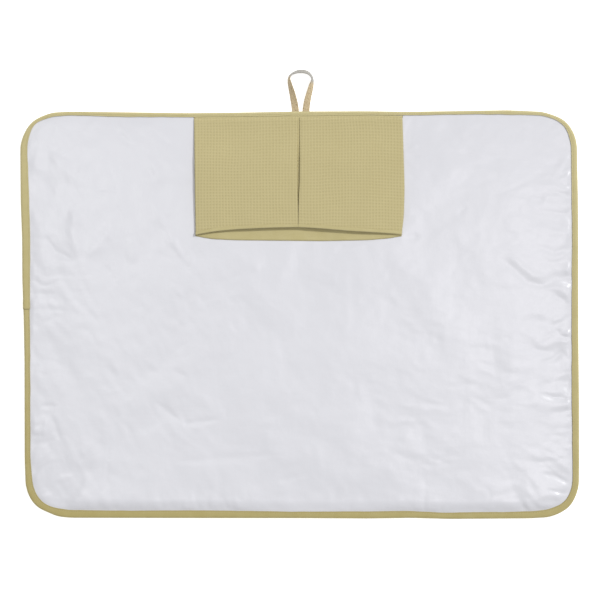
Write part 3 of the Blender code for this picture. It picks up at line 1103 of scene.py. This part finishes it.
def round_corner(x, y, inset):
    """Presses the square corners of a grid into the mat's round ones."""
    radius = CORNER - inset
    over_x, over_y = np.abs(x) - (HALF_X - CORNER), np.abs(y) - (HALF_Y - CORNER)
    corner = (over_x > 0) & (over_y > 0)
    reach = np.hypot(over_x, over_y)
    shrink = np.where(corner, np.maximum(over_x, over_y) / np.maximum(reach, 1e-9), 1)
    new_x = np.where(corner, np.sign(x) * (HALF_X - CORNER + over_x * shrink), x)
    new_y = np.where(corner, np.sign(y) * (HALF_Y - CORNER + over_y * shrink), y)
    return new_x, new_y


def make_sheet(name, step, height, thickness, offset, finish):
    """One cloth of the mat, in its three pieces: left wing, middle and right wing."""
    wide, deep = 2 * (HALF_X - UNDER_LIP), 2 * (HALF_Y - UNDER_LIP)
    data, across, along = make_grid(name, round(wide / step), round(deep / step))
    x, y = round_corner((across - 0.5) * wide, (along - 0.5) * deep, UNDER_LIP)
    lay_cloth(data, on_mat(x, y, height(x, y)), x, y)
    whole = thicken(show(name, data, finish), thickness, offset)
    keep_normals(whole)
    pieces = [
        cut_piece(whole, f"{name}_{side}", (((low, 0, 0), (-1, 0, 0)), ((high, 0, 0), (1, 0, 0))))
        for side, low, high in SIDES
    ]
    bpy.data.objects.remove(whole)
    return pieces


def place_sheets(name, pieces):
    for (side, _, _), piece in zip(SIDES, pieces):
        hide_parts(f"{name}_{side}")
        flat = MIDDLE_FLAT if side == "middle" else WING_FLAT
        bend_with_mat(piece, side)
        tell(piece)


top_sheet = make_sheet("top_sheet_cloth", TOP_STEP, sheet_height, SATIN_THICK, -1, satin)
place_sheets("top_sheet", top_sheet)
backing = make_sheet("backing_cloth", BACKING_STEP, backing_height, COTTON_THICK, 1, cotton)
place_sheets("backing", backing)


# %% [markdown]
# ## The wadding
#
# The wadding is never seen, but it is what the mat is made of, so it is there: three soft pads that
# fill the room between the sheets and thin out towards the binding. Each is a grid pulled up into a
# slab, whose faces then ask the two sheets how high they lie.

# %% Wadding
PAD_INSET = UNDER_LIP + 1 * MM
PAD_ACROSS, PAD_ALONG = 3 * MM, 7 * MM  # the grid's steps: finer across than along
UNDER_TOP, OVER_BACKING = 1.0 * MM, 1.5 * MM


def make_wadding_pad(side, low, high):
    """A closed pad: a grid pulled up into a slab, its faces laid just inside the two sheets."""
    low, high = max(low, PAD_INSET - HALF_X), min(high, HALF_X - PAD_INSET)
    deep = 2 * (HALF_Y - PAD_INSET)
    columns, rows = round((high - low) / PAD_ACROSS), round(deep / PAD_ALONG)
    mesh = bmesh.new()
    bmesh.ops.create_grid(mesh, x_segments=columns, y_segments=rows, size=0.5)
    raised = bmesh.ops.extrude_face_region(mesh, geom=mesh.faces[:])
    upper = [item for item in raised["geom"] if isinstance(item, bmesh.types.BMVert)]
    bmesh.ops.translate(mesh, verts=upper, vec=(0, 0, 1))
    bmesh.ops.recalc_face_normals(mesh, faces=mesh.faces)
    data = close_mesh(f"wadding_{side}_pad", mesh)
    points = read_points(data)
    x, y = round_corner(low + (points[:, 0] + 0.5) * (high - low), points[:, 1] * deep, PAD_INSET)
    top = sheet_height(x, y) - UNDER_TOP
    bottom = np.minimum(backing_height(x, y) + OVER_BACKING, top - 0.4 * MM)
    write_points(data, on_mat(x, y, np.where(points[:, 2] > 0.5, top, bottom)))
    data.shade_smooth()
    return show(data.name, data, wadding)


for side, low, high in SIDES:
    pad = make_wadding_pad(side, low, high)
    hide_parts(f"wadding_{side}")
    bend_with_mat(pad, side)
    tell(pad)


# %% [markdown]
# ## The binding
#
# The binding is bias tape folded round the edge. Its cross-section is one open line: from the lower
# lip, round the edge, to the upper lip, where the raw edge is turned under. A grid follows the line
# across and the edge along. The lip wanders in and out a little, as a hand-fed tape does.

# %% Binding
TAPE_CUT = 22 * MM
SEAM = 2.0 * MM  # from the lip to the stitches
NOSE = 3.0 * MM  # how deep the round of the edge is
ROUND, TURNED = 0.30, 0.82  # shares of half the tape, where its round ends and its turned edge begins


def binding_section(way, share):
    """(inset, height) of the tape at each share of the way across it, from lower to upper lip."""
    wide = edge_stop(way, LIP_WIDTH) + 0.25 * MM * wander(way, 0 * way, 13 * MM, 52)
    middle, tall = (EDGE_LOW + EDGE_HIGH) / 2, (EDGE_HIGH - EDGE_LOW) / 2
    run = np.clip(share * 2 - 1, -1, 1)
    out = np.abs(run)
    turned = np.maximum(out - TURNED, 0) / (1 - TURNED)
    flat = np.clip((out - ROUND) / (TURNED - ROUND), 0, 1)
    bend = np.clip(out / ROUND, 0, 1) * math.pi / 2
    inset = np.where(out < ROUND, NOSE * (1 - np.cos(bend)), NOSE + (wide - NOSE) * flat)
    sunk = 0.30 * MM * np.exp(-(((wide - SEAM - inset) / (0.7 * MM)) ** 2)) * (turned <= 0)
    height = tall * np.sin(bend) - sunk
    inset = inset - 3.0 * MM * np.maximum(turned - 0.3, 0)
    height = height - 0.9 * MM * ease(turned, 0, 0.6)
    uneven = 1 + 0.05 * wander(way, inset, 15 * MM, 53)
    return inset, middle + np.sign(run) * height * uneven


lip_inset, lip_height = binding_section(np.zeros(1), np.ones(1))
print(f"the upper lip ends {lip_inset[0] / MM:.1f} mm in and {lip_height[0] / MM:.1f} mm high")

# %% [markdown]
# ### The ring of binding
#
# The grid is swept all the way round, and the last end is laid over the first one, which is the join
# in the left edge. The ring is then cut at the folds into its four stretches.


# %% The ring of binding
JOIN = 1131 * MM  # the way round to the join in the left-hand edge
OVERLAP, OVERLAP_RISE = 7 * MM, 0.7 * MM


def make_binding_ring():
    """The tape all the way round, with its last end laid over its first one."""
    data, along, share = make_grid("binding", round(EDGE_LENGTH / (2 * MM)), 30)
    gone = along * (EDGE_LENGTH + OVERLAP)
    way = np.mod(JOIN + gone, EDGE_LENGTH)
    inset, height = binding_section(way, share)
    over = ease(gone, EDGE_LENGTH - OVERLAP, EDGE_LENGTH)
    inset = inset - 0.45 * MM * over * (1 - 2 * np.clip(inset / edge_stop(way, LIP_WIDTH), 0, 1))
    height = height + OVERLAP_RISE * over * np.where(share > 0.5, 1, -1)
    x, y, _, _ = edge_place(way, inset)
    lay_cloth(data, on_mat(x, y, height), gone, share * TAPE_CUT)
    ring = thicken(show("binding", data, tape_cotton), BINDING_THICK, -1)
    keep_normals(ring)
    return ring


def way_at(x, y):
    """The way round to the edge nearest to one point."""
    return float(edge_measure(np.array([x]), np.array([y]))[1][0])


FAR_RIGHT, FAR_LEFT = way_at(CUT_X, HALF_Y), way_at(-CUT_X, HALF_Y)
NEAR_LEFT, NEAR_RIGHT = way_at(-CUT_X, -HALF_Y), way_at(CUT_X, -HALF_Y)
LEFT_CUT, RIGHT_CUT = (-CUT_X, 0, 0), (CUT_X, 0, 0)
BETWEEN_CUTS = ((LEFT_CUT, (-1, 0, 0)), (RIGHT_CUT, (1, 0, 0)))
STRETCHES = {  # ends of each stretch of the binding, the panel that it is sewn to, and its cuts
    "far": (FAR_RIGHT, FAR_LEFT, "middle", (*BETWEEN_CUTS, ((0, 0, 0), (0, -1, 0)))),
    "left": (FAR_LEFT, NEAR_LEFT, "left", ((LEFT_CUT, (1, 0, 0)),)),
    "near": (NEAR_LEFT, NEAR_RIGHT, "middle", (*BETWEEN_CUTS, ((0, 0, 0), (0, 1, 0)))),
    "right": (NEAR_RIGHT, FAR_RIGHT + EDGE_LENGTH, "right", ((RIGHT_CUT, (-1, 0, 0)),)),
}
ring = make_binding_ring()
for name, (start, end, side, planes) in STRETCHES.items():
    binding = cut_piece(ring, f"binding_{name}_tape", planes)
    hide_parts(f"binding_{name}")
    end - start
    bend_with_mat(binding, side)
    tell(binding)
bpy.data.objects.remove(ring)


# %% [markdown]
# ## The stitches
#
# A lockstitch shows as short dashes with a dip between them. Each dash is a small flattened ball,
# sunk a little into the tape, and a loop sets hundreds of them along the seam.

# %% Stitches
STITCH_PITCH = 2.9 * MM
STITCH = Vector((1.15 * MM, 0.24 * MM, 0.20 * MM))  # half sizes of one dash
SUNK = 0.2 * MM


def add_stitch(mesh, place, angle):
    """Adds one dash at a place, turned by an angle from the X axis."""
    turn = Matrix.Rotation(angle, 4, "Z")
    whole = Matrix.Translation(place) @ turn @ Matrix.Diagonal((*STITCH, 1))
    bmesh.ops.create_uvsphere(mesh, u_segments=6, v_segments=5, radius=1, matrix=whole)


def finish_stitches(name, mesh):
    data = close_mesh(name, mesh)
    data.shade_smooth()
    row = show(name, data, thread)
    return row


for name, (start, end, side, _) in STRETCHES.items():
    mesh = bmesh.new()
    count = int(abs(end - start) / STITCH_PITCH)
    ways = start + (np.arange(count) + 0.5) * (end - start) / count
    ways = np.mod(ways, EDGE_LENGTH)
    x, y, out_x, out_y = edge_place(ways, edge_stop(ways, LIP_WIDTH) - SEAM)
    places = on_mat(x, y, np.full_like(x, EDGE_HIGH - SUNK))
    for place, face_x, face_y in zip(places, out_x, out_y):
        add_stitch(mesh, place, math.atan2(face_x, -face_y))
    row = finish_stitches(f"binding_{name}_stitches", mesh)
    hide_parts(f"binding_thread_{name}")
    bend_with_mat(row, side)
    print(row.name, count, "stitches")


# %% [markdown]
# ## The pocket's outline
#
# The pocket's back lies on the sheet. Its front is two panels that meet at a slit, with a pleat
# behind it: the slit gives when something thick goes in. All four share one outline: two side
# seams, the two lips of the mouth and the slit, each a line through a few stops.

# %% Pocket outline
def smooth_stops(value, stops):
    """A line through stops in millimetres, with its corners eased."""
    places, heights = np.array(stops).T * MM
    return sum(np.interp(value + shift, places, heights) for shift in EASING) / len(EASING)


def pocket_left(y):
    return smooth_stops(y, [(90, -127.6), (100, -127.6), (150, -127.9), (250, -128.0)])


def pocket_right(y):
    stops = [(90, 124.8), (100, 125.6), (120, 128.2), (155, 129.6), (200, 128.8), (250, 127.9)]
    return smooth_stops(y, stops)


def front_lip(x):
    """Where the front lip of the mouth runs: drawn back in the middle, lowest at the side seams."""
    stops = [(-132, 96.6), (-126, 98.6), (-104, 102.4), (-76, 105), (-36, 106.8), (0, 107.4)]
    return smooth_stops(x, stops + [(31, 105.4), (61, 102.8), (100, 100.6), (124, 98.9), (132, 97)])


def back_lip(x):
    """Where the back's lip runs: a little nearer than the front's, so that it shows."""
    stops = [(-132, 97), (-126, 95.4), (-110, 92.8), (-80, 91.5), (29, 90.4), (86, 91.5)]
    return smooth_stops(x, stops + [(116, 94), (126, 96.4)])


def slit_middle(y):
    return smooth_stops(y, [(90, -1.8), (110, -1.7), (150, -1.0), (250, 0.5)])


def slit_half(y):
    """Half the width of the slit: widest past its middle, and closed towards the mouth."""
    stops = [(90, 0.02), (112, 0.05), (128, 0.25), (144, 0.7), (160, 1.6), (190, 1.8), (215, 1.5)]
    return smooth_stops(y, stops + [(250, 1.1)])


for place in (110, 240):
    seam_left, seam_right = pocket_left(place * MM), pocket_right(place * MM)
    print(f"at {place} mm the pocket runs from {seam_left:.4f} to {seam_right:.4f} m")

# %% [markdown]
# ## The pocket's height and weave
#
# The far edge is caught under the binding and the sides are sewn down, so the front bows up between
# them, most at the mouth. The square cells of the weave are raised in the mesh as well as in the
# finish, because a pocket is looked at from close by.


# %% Pocket height and weave
BOW, SEAM_STEP = 3.4 * MM, 1.4 * MM  # how far the front bows up, and stands proud at its seams
LEFT_RISE = 1.7 * MM  # the left side stands higher than the right
CELL_DEPTH = 0.16 * MM


def across_pocket(x, y):
    """-1 at the left seam, 0 in the middle and 1 at the right seam."""
    left, right = pocket_left(y), pocket_right(y)
    return np.clip((2 * x - left - right) / (right - left), -1, 1)


def front_height(x, y):
    """The height of the front's upper face: it bows up between its seams, most at the mouth."""
    share = np.abs(across_pocket(x, y))
    into = np.clip((POCKET_FAR - y) / (POCKET_FAR - FRONT_LIP), 0, 1.1)
    bow = SEAM_STEP + BOW * (1 - share**4) * ease(into, 0.05, 1.0) + 1.0 * MM * ease(into, 0.02, 0.5)
    bow = bow + 0.25 * MM * wander(x, y, 30 * MM, 61) + 0.10 * MM * wander(x, y, 12 * MM, 62)
    bow = bow + LEFT_RISE * ease(-across_pocket(x, y), 0.6, 1.0)
    under_lip, caught = EDGE_HIGH - 1.0 * MM, POCKET_FAR - y
    slow = (PAD_HIGH - 1.4 * MM - under_lip + bow) * ease(caught, 0, 60 * MM)
    return under_lip + 2.4 * MM * ease(caught, -1 * MM, 6 * MM) + slow


def waffle_cloth(x, y):
    """Where a point of the front lies on the flat cloth: the woven lines drift a little."""
    drift_x = 1.4 * MM * wander(x, y, 75 * MM, 63) + 0.6 * MM * wander(x, y, 20 * MM, 64)
    drift_y = 2.2 * MM * wander(x, y, 80 * MM, 65) + 0.7 * MM * wander(x, y, 20 * MM, 66)
    return x + drift_x, y + drift_y


def waffle_relief(cloth_x, cloth_y):
    """How far the middles of the square cells are sunk."""
    cell = np.abs(np.sin(math.pi * cloth_x / WAFFLE_PITCH) * np.sin(math.pi * cloth_y / WAFFLE_PITCH))
    return -CELL_DEPTH * cell**0.8


mouth_height = front_height(np.zeros(1), np.full(1, FRONT_LIP))
print(f"the mouth stands {mouth_height[0] / MM:.1f} mm high")

# %% [markdown]
# ## The pocket's back
#
# The back is a plain piece of the olive cotton, sewn flat on the sheet. It is one grid, stretched
# between the seams and the back lip, that lies a little above the sheet wherever the sheet goes.


# %% Pocket back
OVER_SHEET = 0.75 * MM


def make_pocket_back():
    data, across, along = make_grid("pocket_back_cloth", 130, 74)
    rough = (across - 0.5) * 2 * POCKET_HALF + POCKET_X
    near = back_lip(rough)
    y = near + along * (POCKET_FAR - near)
    x = pocket_left(y) + across * (pocket_right(y) - pocket_left(y))
    lay_cloth(data, on_mat(x, y, sheet_height(x, y) + OVER_SHEET), x, y)
    return thicken(show("pocket_back_cloth", data, cotton), COTTON_THICK, -1)


pocket_back = make_pocket_back()
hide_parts("pocket_back")
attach(pocket_back, "middle_panel")
tell(pocket_back)

# %% [markdown]
# ## The pocket's front
#
# Each panel is a grid of waffle weave, fine enough to carry the cells. It is tucked in at the slit,
# runs flat to its side seam and turns down there to the sheet.

# %% Pocket front
SIDE_DROP = 3.0 * MM
SLIT_TUCK, TUCK_DROP = 2.5 * MM, 2.0 * MM
CELL_STEP = WAFFLE_PITCH / 5


def lift_with_mouth(piece):
    """Bakes the piece's place into its mesh."""
    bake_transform(piece)


def make_front_half(side, sign):
    """One panel: tucked in at the slit, flat to the side seam, then turned down to the sheet."""
    reach = POCKET_HALF - 2 * MM
    wide = reach + SIDE_DROP + SLIT_TUCK
    rows = round((POCKET_FAR - MOUTH_SIDE) / CELL_STEP)
    data, across, along = make_grid(f"pocket_front_{side}_cloth", round(wide / CELL_STEP), rows)
    cloth = (across if sign > 0 else 1 - across) * wide - SLIT_TUCK
    flat = np.clip(cloth, 0, reach)
    near = front_lip(sign * flat)
    y = near + along * (POCKET_FAR - near)
    seam = pocket_right(y) if sign > 0 else pocket_left(y)
    edge = slit_middle(y) + sign * slit_half(y)
    inner = np.clip(-cloth / SLIT_TUCK, 0, 1)
    beyond = np.clip((cloth - reach) / SIDE_DROP, 0, 1)
    x = edge + (seam - sign * 1 * MM - edge) * flat / reach
    x = x + sign * 1 * MM * np.sin(np.clip(beyond * 1.5, 0, 1) * math.pi / 2) + sign * 0.5 * MM * inner
    height = front_height(x, y) - TUCK_DROP * ease(inner, 0, 1) - 0.5 * MM * np.exp(-flat / (1.2 * MM))
    strip = 0.25 * MM * np.exp(-(((flat - 3.6 * MM) / (0.5 * MM)) ** 2)) * ease(y, 195 * MM, 215 * MM)
    height = height - (strip if sign < 0 else 0)
    height = height - beyond**1.5 * (height - sheet_height(x, y) - 0.9 * MM)
    cloth_x, cloth_y = waffle_cloth(x, y)
    height = height + waffle_relief(cloth_x, cloth_y) * (cloth > 0) * (beyond <= 0)
    lay_cloth(data, on_mat(x, y, height), cloth_x, cloth_y)
    return thicken(show(data.name, data, waffle), WEAVE_THICK, -1)


for side, sign in (("left", -1), ("right", 1)):
    front = make_front_half(side, sign)
    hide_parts(f"pocket_front_{side}")
    lift_with_mouth(front)
    tell(front)

# %% [markdown]
# ## The pleat behind the slit
#
# A strip of the same weave is folded in behind the slit, so nothing falls through it and the pocket
# can widen. Only a line of it is seen. One grid hangs below the front and stays clear of the sheet.


# %% Pleat behind the slit
PLEAT_WIDTH = 40 * MM
UNDER_FRONT, OVER_BACK = 3.2 * MM, 1.3 * MM
PLEAT_THICK = 0.4 * MM


def make_pleat():
    data, across, along = make_grid("pocket_pleat_cloth", 40, 120)
    near, far = FRONT_LIP + 3 * MM, POCKET_FAR - 6 * MM
    y = near + along * (far - near)
    x = slit_middle(y) + (across - 0.5) * PLEAT_WIDTH
    height = np.maximum(front_height(x, y) - UNDER_FRONT, sheet_height(x, y) + OVER_BACK)
    lay_cloth(data, on_mat(x, y, height), x, y)
    return thicken(show("pocket_pleat_cloth", data, waffle), PLEAT_THICK, -1)


pleat = make_pleat()
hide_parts("pocket_pleat")
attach(pleat, "pocket_front")
tell(pleat)

# %% [markdown]
# ## The hem of the mouth
#
# The front's mouth is finished with a strip folded over its edge. The strip's cross-section runs
# from the upper face, round the lip and back inside.


# %% Hem
HEM_CUT = 11 * MM
HEM_NOSE, HEM_LIP = 0.9 * MM, 3.0 * MM  # how deep the round of the lip is, and how wide each leaf
HEM_HALF_HIGH = 0.65 * MM


def make_hem(side, sign):
    """One strip folded over the lip, from the slit to the side seam."""
    data, across, share = make_grid(f"pocket_hem_{side}_strip", 120, 14)
    out = across if sign > 0 else 1 - across
    run = 1 - 2 * share
    far = np.abs(run)
    bend = np.clip(far / ROUND, 0, 1) * math.pi / 2
    leaf = HEM_NOSE + HEM_LIP * (far - ROUND) / (1 - ROUND)
    inset = np.where(far < ROUND, HEM_NOSE * (1 - np.cos(bend)), leaf)
    corner = np.full_like(out, MOUTH_SIDE + 3 * MM)
    seam = pocket_right(corner) if sign > 0 else pocket_left(corner)
    middle = slit_middle(np.full_like(out, FRONT_LIP))
    x = middle + (seam - middle) * out
    y = front_lip(x) + inset
    height = front_height(x, y) - 0.35 * MM + np.sign(-run) * HEM_HALF_HIGH * np.sin(bend)
    lay_cloth(data, on_mat(x, y, height), x, share * HEM_CUT)
    return thicken(show(data.name, data, cotton), HEM_THICK, 1)


for side, sign in (("left", -1), ("right", 1)):
    hem = make_hem(side, sign)
    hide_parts("pocket_hem")
    lift_with_mouth(hem)
    tell(hem)

# %% [markdown]
# ## The hanging loop
#
# The loop is flat tape. It leaves the mat lying flat and turns onto its edge round the bend, so from
# above it looks thin at its sides. A grid follows the middle line, and each row is leaned over by
# the tape's tilt there.

# %% Loop
LOOP_LOW, LOOP_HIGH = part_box("hanging_loop")
LOOP_X = (LOOP_LOW[0] + LOOP_HIGH[0]) / 2
LOOP_ROOT = LOOP_LOW[1]
LOOP_STEPS = 12  # grid rows between two stops, of which the first and last twelve are sewn in
LOOP_STOPS = [  # across, along and height of the tape's middle in mm, and its lean in degrees
    (-5.9, -14, 1.0, 0),
    (-6.0, -3, 1.0, 0),
    (-7.4, 8, 1.5, 12),
    (-10.1, 20.5, 3.0, 36),
    (-13.4, 33.3, 4.4, 60),
    (-14.0, 39.9, 4.7, 75),
    (-10.6, 44.5, 4.6, 72),
    (-2.1, 47.6, 4.4, 61),
    (6.7, 46.9, 4.4, 60),
    (12.5, 43.0, 4.6, 72),
    (14.7, 37.2, 4.7, 74),
    (12.9, 29.4, 3.9, 50),
    (9.3, 15.6, 2.6, 32),
    (7.4, 6, 1.3, 12),
    (6.6, -3, 1.0, 0),
    (6.5, -14, 1.0, 0),
]


def smooth_line(stops, steps):
    """A Catmull-Rom curve through the stops, in this many steps between each two."""
    stops = np.array([stops[0], *stops, stops[-1]], float)
    line = []
    for before, start, end, after in zip(stops, stops[1:], stops[2:], stops[3:]):
        for share in np.arange(steps) / steps:
            pull, push = (end - before) / 2, (after - start) / 2
            line.append(
                (2 * share**3 - 3 * share**2 + 1) * start
                + (share**3 - 2 * share**2 + share) * pull
                + (3 * share**2 - 2 * share**3) * end
                + (share**3 - share**2) * push
            )
    return np.array(line + [stops[-1]])


loop_line = smooth_line(LOOP_STOPS, LOOP_STEPS)
loop_length = float(np.linalg.norm(np.diff(loop_line[:, :3], axis=0), axis=1).sum()) * MM
print(f"the loop's tape is {loop_length:.3f} m long, with its sewn-in ends")

# %% [markdown]
# ### The tape along the line
#
# The grid's rows are set square to the line, seen from above, and leaned over by the tilt there. The
# two sewn-in ends stay with the mat.


# %% Tape of the loop
def make_loop(name, line):
    """Flat tape along a line: each row lies across the line, leaned over by its tilt."""
    data, share, along = make_grid(name, 10, len(line) - 1)
    index = np.rint(along * (len(line) - 1)).astype(int)
    middle = np.array([LOOP_X, LOOP_ROOT, 0]) + line[:, :3] * MM
    heading = np.gradient(middle[:, :2], axis=0)
    heading = heading / np.linalg.norm(heading, axis=1, keepdims=True)
    lean = np.radians(line[:, 3])
    side = np.stack([heading[:, 1] * np.cos(lean), -heading[:, 0] * np.cos(lean), np.sin(lean)], 1)
    length = np.concatenate([[0], np.cumsum(np.linalg.norm(np.diff(middle, axis=0), axis=1))])
    points = middle[index] + side[index] * ((share - 0.5) * TAPE_WIDTH)[:, None]
    lay_cloth(data, points, share * TAPE_WIDTH, length[index])
    return thicken(show(name, data, tape), LOOP_THICK, 0)


loop = make_loop("hanging_loop_tape", loop_line[LOOP_STEPS:-LOOP_STEPS])
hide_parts("hanging_loop")
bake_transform(loop)
tell(loop)

for side, part in (("left", loop_line[: LOOP_STEPS + 1]), ("right", loop_line[-LOOP_STEPS - 1 :])):
    end_piece = make_loop(f"loop_end_{side}_tape", part)
    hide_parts(f"loop_end_{side}")
    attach(end_piece, "middle_panel")
    tell(end_piece)

# %% [markdown]
# ## The bar tack
#
# What holds the loop is a bar of close stitches through both ends, on the underside. It is the same
# dash as the seam's, set side by side and almost square to the bar.

# %% Bar tack under the loop's ends
TACK_STITCHES = 30
TACK_HEIGHT = 0.35 * MM

mesh = bmesh.new()
tack_low, tack_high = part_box("loop_bar_tack")
tack_y = (tack_low[1] + tack_high[1]) / 2
for tack_x in np.linspace(tack_low[0], tack_high[0], TACK_STITCHES):
    add_stitch(mesh, (tack_x, tack_y, TACK_HEIGHT), math.radians(80))
tack = finish_stitches("loop_bar_tack_stitches", mesh)
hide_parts("loop_bar_tack")
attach(tack, "middle_panel")
tell(tack)
